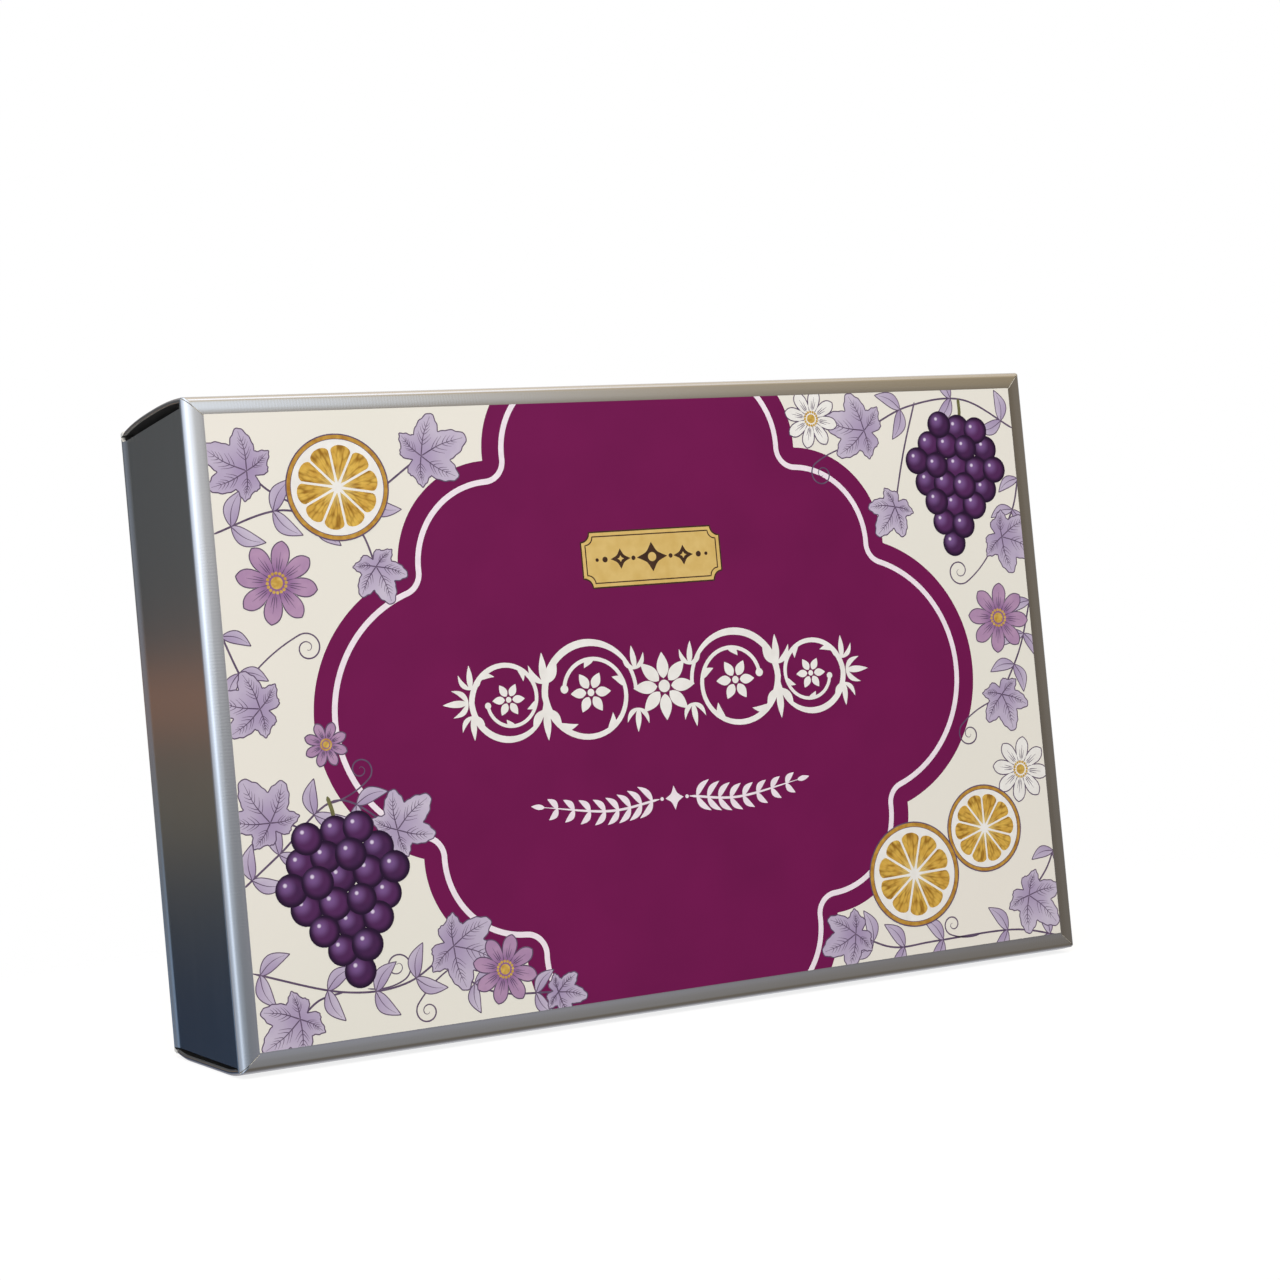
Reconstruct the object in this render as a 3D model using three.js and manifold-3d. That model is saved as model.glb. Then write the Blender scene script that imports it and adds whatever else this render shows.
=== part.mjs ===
// A fruit gift box of silver-faced fluted card, standing on one of its long walls.
// It is two folded trays, a deep lid and the base that it slips over, and a printed
// sheet glued to the lid's face. Millimetres, +Z up, the face towards -Y, and the
// origin on the ground under the middle of the box.

import * as THREE from 'three';
import { mergeVertices } from 'three/addons/utils/BufferGeometryUtils.js';
import Module from 'manifold-3d';

// The box, from fold to fold.
const LENGTH = 385;            // X, over the two end walls
const HEIGHT = 260;            // Z, between the folds of the two long walls
const LID_WALL = 100.5;        // Y, from the lid's front fold to its rim
const BASE_SHOWS = 1.5;        // the base's floor stands this far behind that rim

// The card, and the gaps that pieces folded from it keep.
const BOARD = 1.5;             // fluted card with its two liners
const FOLD_GAP = 0.3;          // between layers of card that lie on each other
const SLIP_END = 0.8;          // between lid and base at each end
const SLIP_TOP = 0.9;          // between lid and base above the base

// The silver bevel round the lid's face, and the printed sheet inside it.
const BEVEL_WIDTH = 7.5;
const BEVEL_DEPTH = 1.9;       // from the sheet's front to the front fold
const SHEET = 0.3;
const MITRE_SLIT = 0.4;        // the bevel strips are cut apart at the corners

// The lid's long walls belly outwards; the lower one is flat where it stands.
const TOP_BELLY = 2.6;
const FOOT_BELLY = 1.8;
const TOP_POWER = 2.6;         // higher is flatter across the middle
const FOOT_RAMP = 0.22;        // share of the depth that rises at each fold
const BELLY_STEPS = 18;

// The rolled end walls: outer panel, corner ears, inner panel.
const ROLL = 3 * BOARD + 2 * FOLD_GAP;
const ROLL_RADIUS = 1.4;
const ROLL_SHORT = 1.0;        // the inner panel stops this far from the face
const ARC_STEPS = 4;
const EAR_REACH = 72;
const EAR_INSET = 2.5;         // ears are narrower than the wall by this at both folds
const SLOT_START = 1.5;        // the end slots begin this far behind the front fold
const LID_SLOT_TOP = 3.7;
const LID_SLOT_FOOT = 2.2;
const BASE_SLOT = 2.4;
const BASE_FOLD = 1.2;         // the base's own folds, as a small flat

const DEPTH = BEVEL_DEPTH + LID_WALL + BASE_SHOWS;
const SHEET_FRONT = -DEPTH / 2;
const LID_FACE = SHEET_FRONT + SHEET + FOLD_GAP;
const FRONT_FOLD = SHEET_FRONT + BEVEL_DEPTH;
const LID_RIM = FRONT_FOLD + LID_WALL;
const BASE_BACK = DEPTH / 2;
const BASE_RIM = FRONT_FOLD + BOARD + FOLD_GAP;
const LID_FOOT = FOOT_BELLY;
const LID_TOP = LID_FOOT + HEIGHT;
const BASE_FOOT = LID_FOOT + BOARD + FOLD_GAP;
const BASE_TOP = LID_TOP - BOARD - SLIP_TOP;
const BASE_HALF = LENGTH / 2 - ROLL - SLIP_END;
const PAST = 20;               // how far cutting solids run past what they cut

const wasm = await Module();
wasm.setup();

const SILVER = { color: 0x9c9da0, roughness: 0.28, metalness: 0.9 };
const PRINT = { color: 0x6f1f50, roughness: 0.55, metalness: 0.0 };

// A closed three.js geometry as a solid.
function solid(geometry) {
  geometry.deleteAttribute('normal');
  geometry.deleteAttribute('uv');
  const merged = mergeVertices(geometry, 1e-4);
  return new wasm.Manifold(new wasm.Mesh({
    numProp: 3,
    vertProperties: new Float32Array(merged.attributes.position.array),
    triVerts: new Uint32Array(merged.index.array),
  }));
}

// A solid as a named three.js mesh.
function mesh(name, body, look) {
  const { vertProperties, triVerts } = body.getMesh();
  const geometry = new THREE.BufferGeometry();
  geometry.setAttribute('position', new THREE.BufferAttribute(vertProperties, 3));
  geometry.setIndex(new THREE.BufferAttribute(triVerts, 1));
  geometry.computeVertexNormals();
  const result = new THREE.Mesh(geometry, new THREE.MeshStandardMaterial(look));
  result.name = name;
  return result;
}

// A block between two opposite corners, given in any order.
function block(a, b) {
  const low = new THREE.Vector3(...a).min(new THREE.Vector3(...b));
  const high = new THREE.Vector3(...a).max(new THREE.Vector3(...b));
  const size = high.clone().sub(low);
  const geometry = new THREE.BoxGeometry(size.x, size.y, size.z);
  const centre = low.add(high).multiplyScalar(0.5);
  return solid(geometry.translate(centre.x, centre.y, centre.z));
}

// An outline in Y and Z, carried along X.
function alongX(outline, from, to) {
  const shape = new THREE.Shape(outline.map(([y, z]) => new THREE.Vector2(y, z)));
  const geometry = new THREE.ExtrudeGeometry(shape, { depth: to - from, bevelEnabled: false });
  const turn = new THREE.Matrix4().makeBasis(
    new THREE.Vector3(0, 1, 0), new THREE.Vector3(0, 0, 1), new THREE.Vector3(1, 0, 0));
  return solid(geometry.applyMatrix4(turn).translate(from, 0, 0));
}

// An outline in X and Y, carried along Z.
function alongZ(outline, from, to) {
  const shape = new THREE.Shape(outline.map(([x, y]) => new THREE.Vector2(x, y)));
  const geometry = new THREE.ExtrudeGeometry(shape, { depth: to - from, bevelEnabled: false });
  return solid(geometry.translate(0, 0, from));
}

// The outline moved inwards edge by edge: each new corner is where the two moved
// edges beside it cross. insets[i] belongs to the edge from point i to the next one.
function inset(points, insets) {
  const count = points.length;
  let area = 0;
  points.forEach(([x, y], i) => {
    const [nextX, nextY] = points[(i + 1) % count];
    area += x * nextY - nextX * y;
  });
  const side = Math.sign(area);
  const edges = points.map(([x, y], i) => {
    const [nextX, nextY] = points[(i + 1) % count];
    const along = new THREE.Vector2(nextX - x, nextY - y).normalize();
    const inwards = new THREE.Vector2(-along.y, along.x).multiplyScalar(side * insets[i]);
    return { along, start: new THREE.Vector2(x, y).add(inwards) };
  });
  return edges.map((edge, i) => {
    const before = edges[(i + count - 1) % count];
    const cross = before.along.cross(edge.along);
    if (Math.abs(cross) < 1e-3) return edge.start.toArray();
    const gap = edge.start.clone().sub(before.start);
    return before.start.clone().addScaledVector(before.along, gap.cross(edge.along) / cross).toArray();
  });
}

// How far the lid's long walls stand out at a share of the depth from fold to rim.
const topBelly = (share) => TOP_BELLY * (1 - Math.abs(2 * share - 1) ** TOP_POWER);
const footBelly = (share) => {
  const ramp = Math.min(1, (1 - Math.abs(2 * share - 1)) / (2 * FOOT_RAMP));
  return FOOT_BELLY * ramp * (2 - ramp);
};

// A tray folded from one blank: panel, bevelled or plain folds, two long walls with
// an ear at each end, and two end walls rolled over the ears. tray.face is the
// panel's outer side, tray.fold where the walls start and tray.rim where they end.
function foldedTray(tray) {
  const { face, fold, rim, foot, top, half, bevel, slotTop, slotFoot } = tray;
  const inwards = Math.sign(rim - face);
  const belly = (share, at) => (tray.belly ? at(share) : 0);
  const steps = tray.belly ? BELLY_STEPS : 1;
  const shares = Array.from({ length: steps + 1 }, (_, i) => i / steps);
  const wallY = (share) => fold + (rim - fold) * share;

  const section = [
    [face, top - bevel],
    ...shares.map((s) => [wallY(s), top + belly(s, topBelly)]),
    ...shares.toReversed().map((s) => [wallY(s), foot - belly(s, footBelly)]),
    [face, foot + bevel],
  ];
  const plan = [
    [-half + bevel, face], [-half, fold], [-half, rim],
    [half, rim], [half, fold], [half - bevel, face],
  ];
  const rimEdge = steps + 1;
  const sectionInsets = section.map((_, i) => (i === rimEdge ? -PAST : BOARD));
  const planInsets = plan.map((_, i) => (i === 2 ? -PAST : BOARD));

  const outside = alongX(section, -half, half).intersect(alongZ(plan, foot - PAST, top + PAST));
  const inside = alongX(inset(section, sectionInsets), -half, half)
    .intersect(alongZ(inset(plan, planInsets), foot - PAST, top + PAST));
  let body = outside.subtract(inside);

  const slotFrom = fold + inwards * SLOT_START;
  const slotTo = rim + inwards * PAST;
  const slotDeep = BOARD + FOLD_GAP;
  for (const end of [-1, 1]) {
    const x = (fromEnd) => end * (half - fromEnd);
    body = body
      .subtract(block([x(-PAST), slotFrom, top - slotTop], [x(slotDeep), slotTo, top + PAST]))
      .subtract(block([x(-PAST), slotFrom, foot + slotFoot], [x(slotDeep), slotTo, foot - PAST]));

    const earX = [x(slotDeep), x(slotDeep + BOARD)];
    const earY = [fold + inwards * EAR_INSET, rim - inwards * (BOARD + EAR_INSET)];
    for (const [edge, reach] of [[top + PAST, top - EAR_REACH], [foot - PAST, foot + EAR_REACH]]) {
      body = body.add(block([earX[0], earY[0], edge], [earX[1], earY[1], reach]).intersect(outside));
    }

    const arc = (fromEnd, quarter) => Array.from({ length: ARC_STEPS + 1 }, (_, i) => {
      const angle = (quarter + i / ARC_STEPS) * Math.PI / 2;
      return [x(fromEnd - ROLL_RADIUS * Math.cos(angle)),
        rim - inwards * ROLL_RADIUS * (1 - Math.sin(angle))];
    });
    const innerFrom = face + inwards * (BOARD + ROLL_SHORT);
    const outerFrom = fold + inwards * SLOT_START;
    const rolled = [
      [x(0), outerFrom], ...arc(ROLL_RADIUS, 0), ...arc(ROLL - ROLL_RADIUS, 1),
      [x(ROLL), innerFrom], [x(ROLL - BOARD), innerFrom],
      [x(ROLL - BOARD), rim - inwards * BOARD], [x(BOARD), rim - inwards * BOARD],
      [x(BOARD), outerFrom],
    ];
    const roll = alongZ(rolled, foot + slotFoot, top - slotTop);
    const square = block([x(-PAST), rim - inwards * ROLL_RADIUS, foot + slotFoot],
      [x(BOARD), slotTo, top - slotTop]);
    body = body.subtract(square).add(roll);
  }
  return body;
}

// The slits along the four mitres of the lid's bevel strips.
function mitreSlits() {
  const reach = BEVEL_WIDTH * Math.SQRT2;
  const deep = FRONT_FOLD - LID_FACE + 2 * BOARD;
  const slits = [];
  for (const [x, z, lean] of [[-1, 0, 1], [1, 0, -1], [-1, 1, -1], [1, 1, 1]]) {
    const slit = new THREE.BoxGeometry(reach, deep * 2, MITRE_SLIT);
    slit.rotateY(-lean * Math.PI / 4);
    const inX = x * (LENGTH / 2 - BEVEL_WIDTH / 2);
    const inZ = z ? LID_TOP - BEVEL_WIDTH / 2 : LID_FOOT + BEVEL_WIDTH / 2;
    slits.push(solid(slit.translate(inX, LID_FACE, inZ)));
  }
  return slits;
}

function lid() {
  const body = foldedTray({
    face: LID_FACE, fold: FRONT_FOLD, rim: LID_RIM, foot: LID_FOOT, top: LID_TOP,
    half: LENGTH / 2, bevel: BEVEL_WIDTH, slotTop: LID_SLOT_TOP, slotFoot: LID_SLOT_FOOT,
    belly: true,
  });
  return mitreSlits().reduce((cut, slit) => cut.subtract(slit), body);
}

function base() {
  return foldedTray({
    face: BASE_BACK, fold: BASE_BACK - BASE_FOLD, rim: BASE_RIM, foot: BASE_FOOT,
    top: BASE_TOP, half: BASE_HALF, bevel: BASE_FOLD, slotTop: BASE_SLOT,
    slotFoot: BASE_SLOT, belly: false,
  });
}

// The sheet covers the flat of the face and stops at the bevel's inner folds.
function printedSheet() {
  const x = LENGTH / 2 - BEVEL_WIDTH;
  return block([-x, SHEET_FRONT, LID_FOOT + BEVEL_WIDTH],
    [x, SHEET_FRONT + SHEET, LID_TOP - BEVEL_WIDTH]);
}

const box = new THREE.Group();
box.add(mesh('lid', lid(), SILVER));
box.add(mesh('base', base(), SILVER));
box.add(mesh('printed_sheet', printedSheet(), PRINT));

export default box;
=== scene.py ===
import bmesh
import bpy
import numpy as np
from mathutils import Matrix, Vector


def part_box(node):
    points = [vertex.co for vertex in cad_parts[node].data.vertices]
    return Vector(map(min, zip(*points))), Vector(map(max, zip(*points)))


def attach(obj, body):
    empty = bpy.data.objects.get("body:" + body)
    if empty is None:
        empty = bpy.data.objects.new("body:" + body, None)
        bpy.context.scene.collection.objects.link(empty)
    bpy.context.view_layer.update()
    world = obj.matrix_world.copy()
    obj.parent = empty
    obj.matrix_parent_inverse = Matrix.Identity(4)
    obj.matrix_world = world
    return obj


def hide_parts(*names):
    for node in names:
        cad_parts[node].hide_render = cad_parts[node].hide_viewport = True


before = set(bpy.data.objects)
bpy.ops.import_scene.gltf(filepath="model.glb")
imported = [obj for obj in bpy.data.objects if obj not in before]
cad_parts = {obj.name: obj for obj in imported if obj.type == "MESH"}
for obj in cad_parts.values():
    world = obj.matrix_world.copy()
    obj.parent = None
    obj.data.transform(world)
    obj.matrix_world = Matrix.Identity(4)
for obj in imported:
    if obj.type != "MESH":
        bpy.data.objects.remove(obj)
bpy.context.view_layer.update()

MM = 0.001

# ---------------------------------------------------------------------------------------
# The lid. One blank of silver-faced fluted card: the face, four bevel strips cut apart at
# the mitres, two long walls with ears at their ends, and two end walls that go over the
# ears, turn round at the rim and come back inside. Scored, folded and tucked, not glued.
# ---------------------------------------------------------------------------------------

_, lid_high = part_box("lid")
sheet_low, sheet_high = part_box("printed_sheet")

board = 1.5 * MM
half_length = lid_high.x
bevel_width = half_length - sheet_high.x
bevel_depth = 1.9 * MM
foot_narrow = 0.887           # the foot strip is this much narrower than the others
foot_fold = sheet_low.z - bevel_width * foot_narrow
top_fold = sheet_high.z + bevel_width
middle = (foot_fold + top_fold) / 2
front = sheet_low.y
lid_rim = lid_high.y
paper = 0.3 * MM              # the printed sheet, with its inks
mitre_gap = 0.2 * MM
strip_puff = 0.16 * MM        # the bevel strips bulge this much
fold_radius = 2.6 * MM
end_radii = 5.1 * MM, 1.2 * MM     # the left end's strip bends softly, the right's hard
roll_width = 5.7 * MM
roll_radius = 1.5 * MM
ear_fold_in = 0.2 * MM        # the ears' folds stop this short of the end's outer side
ear_setback = 2.6 * MM        # and the ears hang this far in, behind the end panel
end_sink = 1.0 * MM           # the end panels fall in this much towards the rim
ear_reach = 72 * MM
slot_top, slot_foot = 3.7 * MM, 1.7 * MM
slot_start = 3.6 * MM, 4.8 * MM              # past the front fold
slot_stop = 2.6 * MM, 1.2 * MM               # before the rim
closed_gap = 0.12 * MM        # between the rim's roll and the long walls
lip_share = 0.42              # the folded lip over a slot: its radius by the slot's height
lip_least, lip_most = 1.2 * MM, 1.5 * MM
lip_lean = 0.4, 0.8           # the lips turn this far past square: upper, lower
tab_below = 0.8 * MM          # the tab reaches this far past the slot
ear_from_fold, ear_to_rim = 2.5 * MM, 3.9 * MM
near_fold = 9 * MM            # the walls' rows lie closer together this near to a fold
near_end = 8 * MM             # and so do all columns this near to an end
tuck_short = 1.0 * MM         # the inner end panels stop this far behind the face's board
flare = 8 * MM, 6.2 * MM      # the end panels come out again: from the rim, and over
foot_ramp, top_power = 0.22, 2.6


def creased(points, radii, steps, arc_steps=9):
    """A line of straight runs joined by arcs, as an (n, 2) array.

    At each inner corner the arc touches its two runs radius * tan(turn / 2) from the
    corner. Run i is divided into steps[i] equal parts.
    """
    points = np.array(points, float)
    run = np.diff(points, axis=0)
    ahead = run / np.linalg.norm(run, axis=1)[:, None]
    turn = np.arccos(np.clip((ahead[:-1] * ahead[1:]).sum(1), -1, 1))
    reach = np.r_[0, np.array(radii) * np.tan(turn / 2), 0]
    line = []
    for i, count in enumerate(steps):
        first = points[i] + ahead[i] * reach[i]
        last = points[i + 1] - ahead[i] * reach[i + 1]
        line.append(first + np.linspace(0, 1, count + 1)[:, None] * (last - first))
        if i + 1 < len(steps):
            side = np.sign(np.cross(ahead[i], ahead[i + 1]))
            across = np.array([-ahead[i][1], ahead[i][0]]) * side
            angle = np.linspace(0, turn[i], arc_steps + 1)[1:-1, None]
            arc = np.sin(angle) * ahead[i] + (1 - np.cos(angle)) * across
            line.append(last + radii[i] * arc)
    line = np.concatenate(line)
    fresh = np.r_[True, np.linalg.norm(np.diff(line, axis=0), axis=1) > 1e-7]
    return line[fresh]


def run_along(line):
    """How far each point lies along a line from its start."""
    return np.r_[0, np.cumsum(np.linalg.norm(np.diff(line, axis=0), axis=1))]


def joined(*parts):
    """Arrays of coordinates as one array of points, all stretched to one shape."""
    return np.stack(np.broadcast_arrays(*parts), -1)


def blend(low, high, value):
    """0 below low, 1 above high and the cubic 3t^2 - 2t^3 between them."""
    t = np.clip((value - low) / (high - low), 0, 1)
    return t * t * (3 - 2 * t)


def patch_mesh(name, patches, weld=1e-6, tones=None):
    """A mesh of several (rows, columns, 3) grids, with their edges that meet welded.

    Each patch is (points, uv, flip): uv is (rows, columns, 2), and flip turns the faces
    round. Vertices of neighbouring rows and columns make one four-sided face each, and
    tones gives each face a number of its own.
    """
    corners, coords, faces, start = [], [], [], 0
    for points, uv, flip in patches:
        rows, cols = points.shape[:2]
        index = start + np.arange(rows * cols).reshape(rows, cols)
        quad = np.stack([index[:-1, :-1], index[:-1, 1:], index[1:, 1:], index[1:, :-1]], -1)
        quad = quad.reshape(-1, 4)
        faces.append(quad[:, ::-1] if flip else quad)
        corners.append(points.reshape(-1, 3))
        coords.append(uv.reshape(-1, 2))
        start += rows * cols
    corners, coords, faces = map(np.concatenate, (corners, coords, faces))
    mesh = bpy.data.meshes.new(name)
    mesh.from_pydata(corners.tolist(), [], faces.tolist())
    layer = mesh.uv_layers.new(name="UVMap")
    layer.data.foreach_set("uv", coords[faces.ravel()].ravel().astype(np.float32))
    if tones is not None:
        mesh.attributes.new("tone", "FLOAT", "FACE").data.foreach_set("value", tones)
    made = bmesh.new()
    made.from_mesh(mesh)
    bmesh.ops.remove_doubles(made, verts=made.verts, dist=weld)
    bmesh.ops.dissolve_degenerate(made, edges=made.edges, dist=weld)
    made.to_mesh(mesh)
    made.free()
    mesh.polygons.foreach_set("use_smooth", np.ones(len(mesh.polygons), bool))
    return mesh


def settle(piece, angle=38):
    """Applies the piece's modifiers to its mesh and creases edges sharper than angle."""
    graph = bpy.context.evaluated_depsgraph_get()
    mesh = bpy.data.meshes.new_from_object(piece.evaluated_get(graph))
    piece.modifiers.clear()
    piece.data = mesh
    mesh.polygons.foreach_set("use_smooth", np.ones(len(mesh.polygons), bool))
    mesh.set_sharp_from_angle(angle=np.radians(angle))
    return piece


def close_at_ends(half, inner, outer):
    """Numbers from -1 to 1: inner even steps, and outer closer ones over near_end of half.

    The closer ones lie near_end / half * share ^ 1.4 short of the end.
    """
    reach = near_end / half
    last = 1 - reach * np.linspace(1, 0, outer + 1) ** 1.4
    return np.r_[-last[::-1], np.linspace(-last[0], last[0], inner + 1)[1:-1], last]


def depth_behind(away, line, depth):
    """How deep a folded strip lies at that distance from its fold, before the wall."""
    stop = np.argmax(line < 1e-9) + 1
    return np.interp(away, line[:stop][::-1], depth[:stop][::-1])


def puffed_depth(line, bevel, puff):
    """A folded line's depths less the puff of its bevel strip.

    At the share s of the strip, from the face, it is puff * 6.75 * s * (1 - s)^2, which
    is puff at its most.
    """
    share = np.clip(run_along(line) / bevel, 0, 1)
    return line[:, 1] - puff * 6.75 * share * (1 - share) ** 2


def lip_radius(gap):
    """The radius of the lip over a slot of that height."""
    return np.clip(lip_share * gap, lip_least, lip_most)


def folded_card(name, half, foot, top, plane, inwards, bevel, face, fold, rim, radius,
                end_radii, slot_start, slot_top, slot_foot, narrow=1.0, top_belly=0.0,
                foot_belly=0.0, puff=0.0, sink=0.0):
    """The outer side of a folded blank as one welded sheet, thickened inwards to board.

    The middle grid runs from rim to rim over both long walls and the face; its columns
    stop at the mitre on the bevels and near the end on the walls. The end grids carry the
    bevel, outer panel, rolled rim and inner panel from top to foot. The long walls' ends
    bend over by more than a right angle into a lip. A window is cut out of each ear under
    its lip, so only a tab at the front of the lip leads in and down to the ear, which
    hangs behind the end panel. Where a strip runs out to a softer fold it bends back with
    that fold's strip. Depths are measured from the front plane.
    """
    span = close_at_ends(half, 22, 18)
    rise = close_at_ends((top - foot) / 2, 16, 14)
    slot_from, slot_to = fold + slot_start[0], fold + slot_start[1]

    wall = creased([(bevel, face), (0, fold), (0, fold + near_fold), (0, rim - near_fold),
                    (0, rim)], [radius, 0, 0], [8, 8, 26, 10])
    past, depth = run_along(wall), puffed_depth(wall, bevel, puff)
    share = np.clip((wall[:, 1] - fold) / (rim - fold), 0, 1)
    ramp = np.clip((1 - abs(2 * share - 1)) / (2 * foot_ramp), 0, 1)
    top_out = top_belly * (1 - abs(2 * share - 1) ** top_power)
    foot_out = foot_belly * ramp * (2 - ramp)
    top_gap, foot_gap = slot_top + top_out, slot_foot + foot_out
    in_slot = blend(slot_from, slot_to, wall[:, 1])
    raw_end = (half - wall[:, 0] - mitre_gap) * (1 - in_slot) + (half - ear_fold_in) * in_slot
    ear_rows = (wall[:, 1] > fold + ear_from_fold) & (wall[:, 1] < rim - ear_to_rim)
    top_reach, foot_reach = (
        np.where(ear_rows, half - ear_fold_in - lip_radius(gap), raw_end)
        for gap in (top_gap, foot_gap))
    face_reach = half - bevel
    face_low, face_high = foot + bevel * narrow, top - bevel
    face_z = ((face_low + face_high) / 2 + rise * (face_high - face_low) / 2)[1:-1]
    top_z = top - wall[:, 0] + top_out
    foot_z = foot + wall[:, 0] * narrow - foot_out
    row_z = np.r_[foot_z[::-1], face_z, top_z]
    row_d = np.r_[depth[::-1], np.full(len(face_z), face), depth]
    row_v = np.r_[past[::-1], np.zeros(len(face_z)), past]
    row_x = np.r_[foot_reach[::-1], np.full(len(face_z), face_reach), top_reach]
    row_x[[len(wall) - 1, -len(wall)]] = face_reach

    ends = {}
    for side, end_radius in zip((-1, 1), end_radii):
        end = creased([(bevel, face), (0, fold), (0, rim), (roll_width, rim),
                       (roll_width, face + board + tuck_short)],
                      [end_radius, roll_radius, roll_radius], [8, 96, 3, 14], 15)
        ends[side] = end, run_along(end), puffed_depth(end, bevel, puff)

    middle_x = span * row_x[:, None]
    middle_d = row_d[:, None]
    for side, (end, _, end_depth) in ends.items():
        behind = depth_behind(half - side * middle_x, end[:, 0], end_depth)
        middle_d = np.maximum(middle_d, behind)
    patches = [(joined(middle_x, middle_d, row_z[:, None]),
                joined(middle_x, row_v[:, None]), False)]

    for side, (end, end_past, end_depth) in ends.items():
        before_rim = end_past < end_past[np.argmax(end[:, 1])]
        in_slot = np.where(before_rim, blend(slot_from, slot_to, end[:, 1]), 1)
        closed = blend(rim - slot_stop[0], rim - slot_stop[1], end[:, 1])
        mitred = np.maximum(end[:, 0], 0) + mitre_gap
        mitred[0] = bevel
        high, low = (
            mitred * part * (1 - in_slot)
            + ((1 - closed) * slot + closed * (board + closed_gap)) * in_slot
            for slot, part in ((slot_top, 1), (slot_foot, narrow)))
        high, low = top - high, foot + low
        end_z = (low + high) / 2 + rise[:, None] * (high - low) / 2
        along = np.clip((end[:, 1] - fold) / (rim - flare[0] - fold), 0, 1)
        flared = np.clip((end[:, 1] - rim + flare[0]) / flare[1], 0, 1)
        fall = sink * before_rim * along ** 1.6 * (1 - flared ** 1.5)
        end_x = side * (half - end[:, 0] - fall)
        end_d = np.maximum(end_depth, depth_behind(top - end_z, wall[:, 0], depth))
        end_d = np.maximum(end_d, depth_behind((end_z - foot) / narrow, wall[:, 0], depth))
        patches.append((joined(end_x, end_d, end_z), joined(end_z, end_past), side < 0))

    lip_columns, tab_columns, tab_rows = 13, 3, 5
    for up, edge, fold_z, gaps, lean in (
            (1, top_z, top, top_gap, lip_lean[0]), (-1, foot_z, foot, foot_gap, lip_lean[1])):
        gap, start_z = gaps[ear_rows][:, None], edge[ear_rows][:, None]
        lip = lip_radius(gap)
        turn = (np.pi / 2 + lean) * np.linspace(0, 1, lip_columns)
        lip_x = half - ear_fold_in - lip + lip * np.sin(turn)
        lip_drop = lip * (1 - np.cos(turn))
        share = np.linspace(0, 1, tab_columns + 1)[1:]
        tab_x = lip_x[:, -1:] + (half - ear_setback - lip_x[:, -1:]) * share
        tab_drop = lip_drop[:, -1:] + (gap + tab_below - lip_drop[:, -1:]) * share
        stop = abs(start_z - (fold_z - up * ear_reach))
        hang_drop = tab_drop[:, -1:] + (stop - tab_drop[:, -1:]) * np.linspace(0, 1, 8)[1:]
        ear_x = np.concatenate([lip_x, tab_x, np.full_like(hang_drop, half - ear_setback)], 1)
        drop = np.concatenate([lip_drop, tab_drop, hang_drop], 1)
        for side in (-1, 1):
            grid = joined(side * ear_x, depth[ear_rows][:, None], start_z - up * drop)
            uv = joined(side * (ear_x + drop), past[ear_rows][:, None])
            last = lip_columns + tab_columns
            for part in (np.s_[:, :lip_columns], np.s_[:tab_rows, lip_columns - 1:last],
                         np.s_[:, last - 1:]):
                patches.append((grid[part], uv[part], side * up < 0))

    patches = [(grid * (1, inwards, 1) + (0, plane, 0), uv, flip != (inwards < 0))
               for grid, uv, flip in patches]
    piece = bpy.data.objects.new(name, patch_mesh(name, patches))
    bpy.context.collection.objects.link(piece)
    thick = piece.modifiers.new("board", "SOLIDIFY")
    thick.thickness, thick.offset = board, -1
    thick.use_even_offset = True
    thick.material_offset, thick.material_offset_rim = 1, 2
    return piece


lid = folded_card(
    "lid_card", half=half_length, foot=foot_fold, top=top_fold, plane=front, inwards=1,
    bevel=bevel_width, face=paper, fold=bevel_depth, rim=lid_rim - front,
    radius=fold_radius, end_radii=end_radii, slot_start=slot_start, slot_top=slot_top,
    slot_foot=slot_foot, narrow=foot_narrow, top_belly=lid_high.z - top_fold,
    foot_belly=foot_fold, puff=strip_puff, sink=end_sink)


def wire(made, **values):
    """Sets a node's properties and inputs by name; a socket among the values is linked."""
    for key, value in values.items():
        name = key.replace("_", " ")
        if isinstance(value, bpy.types.NodeSocket):
            made.id_data.links.new(value, made.inputs[name])
        elif hasattr(made, key):
            setattr(made, key, value)
        else:
            made.inputs[name].default_value = value
    return made


def node(tree, kind, **values):
    """A new shader node of that kind, wired with the values."""
    return wire(tree.nodes.new("ShaderNode" + kind), **values)


def maths(tree, operation, first, second=0.0, **values):
    """One Math node: the operation on two numbers, each a socket or a value."""
    made = node(tree, "Math", operation=operation, **values)
    for value, socket in zip((first, second), made.inputs):
        if isinstance(value, bpy.types.NodeSocket):
            tree.links.new(value, socket)
        else:
            socket.default_value = value
    return made.outputs[0]


def mapped(tree, value, low, high, first=0.0, last=1.0, way="SMOOTHSTEP"):
    """The value taken from low..high to first..last, and held level beyond them."""
    return node(tree, "MapRange", interpolation_type=way, Value=value, From_Min=low,
                From_Max=high, To_Min=first, To_Max=last).outputs["Result"]


def colour(code):
    """A six-digit sRGB code as linear red, green and blue."""
    value = np.array([int(code[i:i + 2], 16) for i in (0, 2, 4)]) / 255
    return tuple(np.where(value <= 0.04045, value / 12.92, ((value + 0.055) / 1.055) ** 2.4))


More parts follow.
